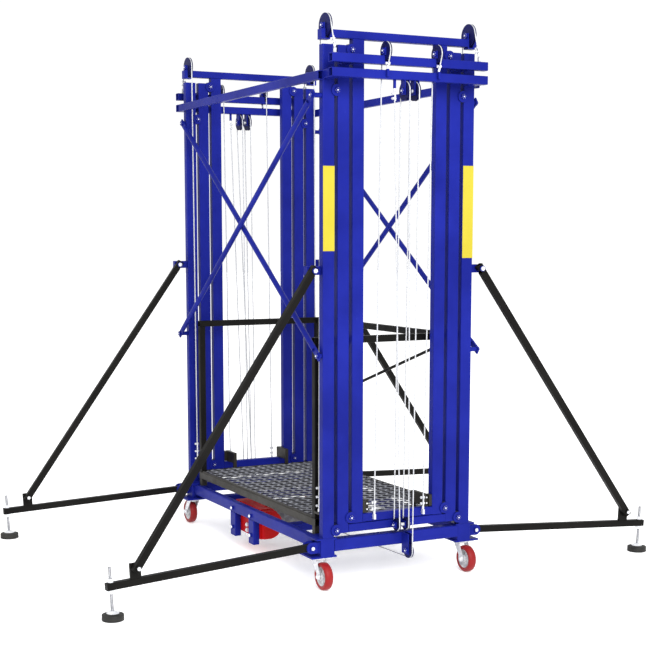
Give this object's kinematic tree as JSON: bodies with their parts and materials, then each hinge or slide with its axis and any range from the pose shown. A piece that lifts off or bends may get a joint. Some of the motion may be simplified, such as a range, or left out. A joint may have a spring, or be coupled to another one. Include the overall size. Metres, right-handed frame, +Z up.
{
  "type": "electric scaffold lift",
  "caption": "Electric scaffold lift: a meshed platform rises between rope-hoisted telescopic masts on a castered base, steadied by strutted outriggers with screw feet.",
  "frame": {"origin": "centre of the bounding box at floor level", "axes": "+X towards the near mast with the yellow plates, +Y across the masts towards the guard rail, +Z up"},
  "size_m": [1.5138, 2.2566, 1.9999],
  "materials": {
    "blue_paint": "gloss blue paint on steel tube",
    "black_paint": "semi-gloss black paint on steel tube",
    "mesh_paint": "dark paint on expanded metal",
    "galvanised": "bright zinc",
    "wire_rope": "galvanised wire rope",
    "sheave_iron": "dark turned iron",
    "drum_steel": "grey cast drum",
    "red_paint": "gloss red paint",
    "wheel_red": "red polyurethane",
    "yellow_paint": "yellow sheet"
  },
  "bodies": {
    "base": {"base_rails": "blue_paint", "corner_blocks": "blue_paint", "base_fittings": "galvanised", "stage1_posts": "blue_paint", "stage1_bars": "blue_paint", "side_braces": "blue_paint", "outrigger_brackets": "blue_paint", "winch_frame": "blue_paint", "winch_gearbox": "red_paint", "winch_motor": "red_paint", "colour_plates": "yellow_paint", "hoist_ropes": "wire_rope"},
    "stage2_near": {"stage2_near_frame": "blue_paint", "stage2_near_fittings": "galvanised", "lift_ropes_near": "wire_rope"},
    "stage3_near": {"stage3_near_frame": "blue_paint", "stage3_near_fittings": "galvanised", "platform_ropes_near": "wire_rope"},
    "stage2_far": {"stage2_far_frame": "blue_paint", "stage2_far_fittings": "galvanised", "lift_ropes_far": "wire_rope"},
    "stage3_far": {"stage3_far_frame": "blue_paint", "stage3_far_fittings": "galvanised", "platform_ropes_far": "wire_rope"},
    "platform": {"deck_frame": "black_paint", "deck_mesh": "mesh_paint", "guard_rails": "black_paint", "platform_brackets": "black_paint"},
    "caster_fork_nl": {"caster_fork_nl": "galvanised"},
    "caster_wheel_nl": {"caster_wheel_nl": "wheel_red"},
    "outrigger_arm_nl": {"outrigger_arm_nl": "black_paint"},
    "outrigger_strut_nl": {"outrigger_strut_nl": "black_paint"},
    "outrigger_jack_nl": {"outrigger_jack_nl": "galvanised"},
    "caster_fork_nr": {"caster_fork_nr": "galvanised"},
    "caster_wheel_nr": {"caster_wheel_nr": "wheel_red"},
    "outrigger_arm_nr": {"outrigger_arm_nr": "black_paint"},
    "outrigger_strut_nr": {"outrigger_strut_nr": "black_paint"},
    "outrigger_jack_nr": {"outrigger_jack_nr": "galvanised"},
    "caster_fork_fl": {"caster_fork_fl": "galvanised"},
    "caster_wheel_fl": {"caster_wheel_fl": "wheel_red"},
    "outrigger_arm_fl": {"outrigger_arm_fl": "black_paint"},
    "outrigger_strut_fl": {"outrigger_strut_fl": "black_paint"},
    "outrigger_jack_fl": {"outrigger_jack_fl": "galvanised"},
    "caster_fork_fr": {"caster_fork_fr": "galvanised"},
    "caster_wheel_fr": {"caster_wheel_fr": "wheel_red"},
    "outrigger_arm_fr": {"outrigger_arm_fr": "black_paint"},
    "outrigger_strut_fr": {"outrigger_strut_fr": "black_paint"},
    "outrigger_jack_fr": {"outrigger_jack_fr": "galvanised"},
    "end_sheaves_near": {"end_sheaves_near": "sheave_iron"},
    "middle_sheaves_near": {"middle_sheaves_near": "sheave_iron"},
    "hoist_top_sheaves_near": {"hoist_top_sheaves_near": "sheave_iron"},
    "hoist_low_sheaves_near": {"hoist_low_sheaves_near": "sheave_iron"},
    "base_sheave_near": {"base_sheave_near": "sheave_iron"},
    "end_sheaves_far": {"end_sheaves_far": "sheave_iron"},
    "middle_sheaves_far": {"middle_sheaves_far": "sheave_iron"},
    "hoist_top_sheaves_far": {"hoist_top_sheaves_far": "sheave_iron"},
    "hoist_low_sheaves_far": {"hoist_low_sheaves_far": "sheave_iron"},
    "base_sheave_far": {"base_sheave_far": "sheave_iron"},
    "winch_drum": {"winch_drum": "drum_steel"}
  },
  "joints": [
    {"name": "mast_lift", "type": "slide", "parent": "base", "child": "stage2_near", "axis": [0, 0, 1], "range_m": [0, 1.25], "deforming": ["hoist_ropes", "lift_ropes_near", "lift_ropes_far", "platform_ropes_near", "platform_ropes_far"]},
    {"name": "stage2_far_lift", "type": "slide", "parent": "base", "child": "stage2_far", "axis": [0, 0, 1], "range_m": [0, 1.25]},
    {"name": "stage3_near_lift", "type": "slide", "parent": "stage2_near", "child": "stage3_near", "axis": [0, 0, 1], "range_m": [0, 1.25]},
    {"name": "stage3_far_lift", "type": "slide", "parent": "stage2_far", "child": "stage3_far", "axis": [0, 0, 1], "range_m": [0, 1.25]},
    {"name": "platform_lift", "type": "slide", "parent": "stage3_near", "child": "platform", "axis": [0, 0, 1], "range_m": [0, 1.25]},
    {"name": "caster_swivel_nl", "type": "hinge", "parent": "base", "child": "caster_fork_nl", "pos_m": [0.605, -0.3, 0.108], "axis": [0, 0, 1], "continuous": true},
    {"name": "caster_roll_nl", "type": "hinge", "parent": "caster_fork_nl", "child": "caster_wheel_nl", "pos_m": [0.645, -0.3, 0.05], "axis": [0, 1, 0], "continuous": true},
    {"name": "outrigger_fold_nl", "type": "hinge", "parent": "base", "child": "outrigger_arm_nl", "pos_m": [0.622, -0.345, 0.154], "axis": [-0.9978, -0.0663, 0], "range_deg": [0, 80]},
    {"name": "strut_swing_nl", "type": "hinge", "parent": "outrigger_arm_nl", "child": "outrigger_strut_nl", "pos_m": [0.66646, -1.01433, 0.17092], "axis": [-0.9978, -0.0663, 0], "range_deg": [-115, 0]},
    {"name": "jack_screw_nl", "type": "slide", "parent": "outrigger_arm_nl", "child": "outrigger_jack_nl", "axis": [0.0035, -0.0522, 0.9986], "range_m": [0, 0.05]},
    {"name": "caster_swivel_nr", "type": "hinge", "parent": "base", "child": "caster_fork_nr", "pos_m": [0.605, 0.3, 0.108], "axis": [0, 0, 1], "continuous": true},
    {"name": "caster_roll_nr", "type": "hinge", "parent": "caster_fork_nr", "child": "caster_wheel_nr", "pos_m": [0.645, 0.3, 0.05], "axis": [0, 1, 0], "continuous": true},
    {"name": "outrigger_fold_nr", "type": "hinge", "parent": "base", "child": "outrigger_arm_nr", "pos_m": [0.622, 0.345, 0.154], "axis": [0.9978, -0.0663, 0], "range_deg": [0, 80]},
    {"name": "strut_swing_nr", "type": "hinge", "parent": "outrigger_arm_nr", "child": "outrigger_strut_nr", "pos_m": [0.66646, 1.01433, 0.17092], "axis": [0.9978, -0.0663, 0], "range_deg": [-115, 0]},
    {"name": "jack_screw_nr", "type": "slide", "parent": "outrigger_arm_nr", "child": "outrigger_jack_nr", "axis": [0.0035, 0.0522, 0.9986], "range_m": [0, 0.05]},
    {"name": "caster_swivel_fl", "type": "hinge", "parent": "base", "child": "caster_fork_fl", "pos_m": [-0.605, -0.3, 0.108], "axis": [0, 0, 1], "continuous": true},
    {"name": "caster_roll_fl", "type": "hinge", "parent": "caster_fork_fl", "child": "caster_wheel_fl", "pos_m": [-0.645, -0.3, 0.05], "axis": [0, 1, 0], "continuous": true},
    {"name": "outrigger_fold_fl", "type": "hinge", "parent": "base", "child": "outrigger_arm_fl", "pos_m": [-0.648, -0.345, 0.154], "axis": [-0.9978, 0.0663, 0], "range_deg": [0, 80]},
    {"name": "strut_swing_fl", "type": "hinge", "parent": "outrigger_arm_fl", "child": "outrigger_strut_fl", "pos_m": [-0.69246, -1.01433, 0.17092], "axis": [-0.9978, 0.0663, 0], "range_deg": [-115, 0]},
    {"name": "jack_screw_fl", "type": "slide", "parent": "outrigger_arm_fl", "child": "outrigger_jack_fl", "axis": [-0.0035, -0.0522, 0.9986], "range_m": [0, 0.05]},
    {"name": "caster_swivel_fr", "type": "hinge", "parent": "base", "child": "caster_fork_fr", "pos_m": [-0.605, 0.3, 0.108], "axis": [0, 0, 1], "continuous": true},
    {"name": "caster_roll_fr", "type": "hinge", "parent": "caster_fork_fr", "child": "caster_wheel_fr", "pos_m": [-0.645, 0.3, 0.05], "axis": [0, 1, 0], "continuous": true},
    {"name": "outrigger_fold_fr", "type": "hinge", "parent": "base", "child": "outrigger_arm_fr", "pos_m": [-0.648, 0.345, 0.154], "axis": [0.9978, 0.0663, 0], "range_deg": [0, 80]},
    {"name": "strut_swing_fr", "type": "hinge", "parent": "outrigger_arm_fr", "child": "outrigger_strut_fr", "pos_m": [-0.69246, 1.01433, 0.17092], "axis": [0.9978, 0.0663, 0], "range_deg": [-115, 0]},
    {"name": "jack_screw_fr", "type": "slide", "parent": "outrigger_arm_fr", "child": "outrigger_jack_fr", "axis": [-0.0035, 0.0522, 0.9986], "range_m": [0, 0.05]},
    {"name": "end_sheaves_near_spin", "type": "hinge", "parent": "stage3_near", "child": "end_sheaves_near", "pos_m": [0.635, 0, 1.958], "axis": [0, 1, 0], "continuous": true},
    {"name": "middle_sheaves_near_spin", "type": "hinge", "parent": "stage2_near", "child": "middle_sheaves_near", "pos_m": [0.7245, 0, 1.873], "axis": [0, 1, 0], "continuous": true},
    {"name": "hoist_top_sheaves_near_spin", "type": "hinge", "parent": "base", "child": "hoist_top_sheaves_near", "pos_m": [0.713, 0, 1.745], "axis": [0, 1, 0], "continuous": true},
    {"name": "hoist_low_sheaves_near_spin", "type": "hinge", "parent": "stage2_near", "child": "hoist_low_sheaves_near", "pos_m": [0.675, 0, 0.215], "axis": [0, 1, 0], "continuous": true},
    {"name": "base_sheave_near_spin", "type": "hinge", "parent": "base", "child": "base_sheave_near", "pos_m": [0.684, 0.026, 0.118], "axis": [0, 1, 0], "continuous": true},
    {"name": "end_sheaves_far_spin", "type": "hinge", "parent": "stage3_far", "child": "end_sheaves_far", "pos_m": [-0.635, 0, 1.958], "axis": [0, 1, 0], "continuous": true},
    {"name": "middle_sheaves_far_spin", "type": "hinge", "parent": "stage2_far", "child": "middle_sheaves_far", "pos_m": [-0.7245, 0, 1.873], "axis": [0, 1, 0], "continuous": true},
    {"name": "hoist_top_sheaves_far_spin", "type": "hinge", "parent": "base", "child": "hoist_top_sheaves_far", "pos_m": [-0.713, 0, 1.745], "axis": [0, 1, 0], "continuous": true},
    {"name": "hoist_low_sheaves_far_spin", "type": "hinge", "parent": "stage2_far", "child": "hoist_low_sheaves_far", "pos_m": [-0.675, 0, 0.215], "axis": [0, 1, 0], "continuous": true},
    {"name": "base_sheave_far_spin", "type": "hinge", "parent": "base", "child": "base_sheave_far", "pos_m": [-0.684, 0.026, 0.118], "axis": [0, 1, 0], "continuous": true},
    {"name": "drum_turn", "type": "hinge", "parent": "base", "child": "winch_drum", "pos_m": [-0.07, 0, 0.12], "axis": [0, 1, 0], "continuous": true}
  ],
  "couplings": [
    {"joint": "stage2_far_lift", "follows": "mast_lift", "ratio": 1},
    {"joint": "stage3_near_lift", "follows": "mast_lift", "ratio": 1},
    {"joint": "stage3_far_lift", "follows": "mast_lift", "ratio": 1},
    {"joint": "platform_lift", "follows": "mast_lift", "ratio": 1},
    {"joint": "strut_swing_nl", "follows": "outrigger_fold_nl", "ratio": -1.43},
    {"joint": "strut_swing_nr", "follows": "outrigger_fold_nr", "ratio": -1.43},
    {"joint": "strut_swing_fl", "follows": "outrigger_fold_fl", "ratio": -1.43},
    {"joint": "strut_swing_fr", "follows": "outrigger_fold_fr", "ratio": -1.43},
    {"joint": "end_sheaves_near_spin", "follows": "mast_lift", "rad_per_m": 25.316},
    {"joint": "middle_sheaves_near_spin", "follows": "mast_lift", "rad_per_m": 33.333},
    {"joint": "base_sheave_near_spin", "follows": "mast_lift", "rad_per_m": 153.85},
    {"joint": "end_sheaves_far_spin", "follows": "mast_lift", "rad_per_m": -25.316},
    {"joint": "middle_sheaves_far_spin", "follows": "mast_lift", "rad_per_m": -33.333},
    {"joint": "base_sheave_far_spin", "follows": "mast_lift", "rad_per_m": -153.85},
    {"joint": "drum_turn", "follows": "mast_lift", "rad_per_m": 93.46}
  ]
}
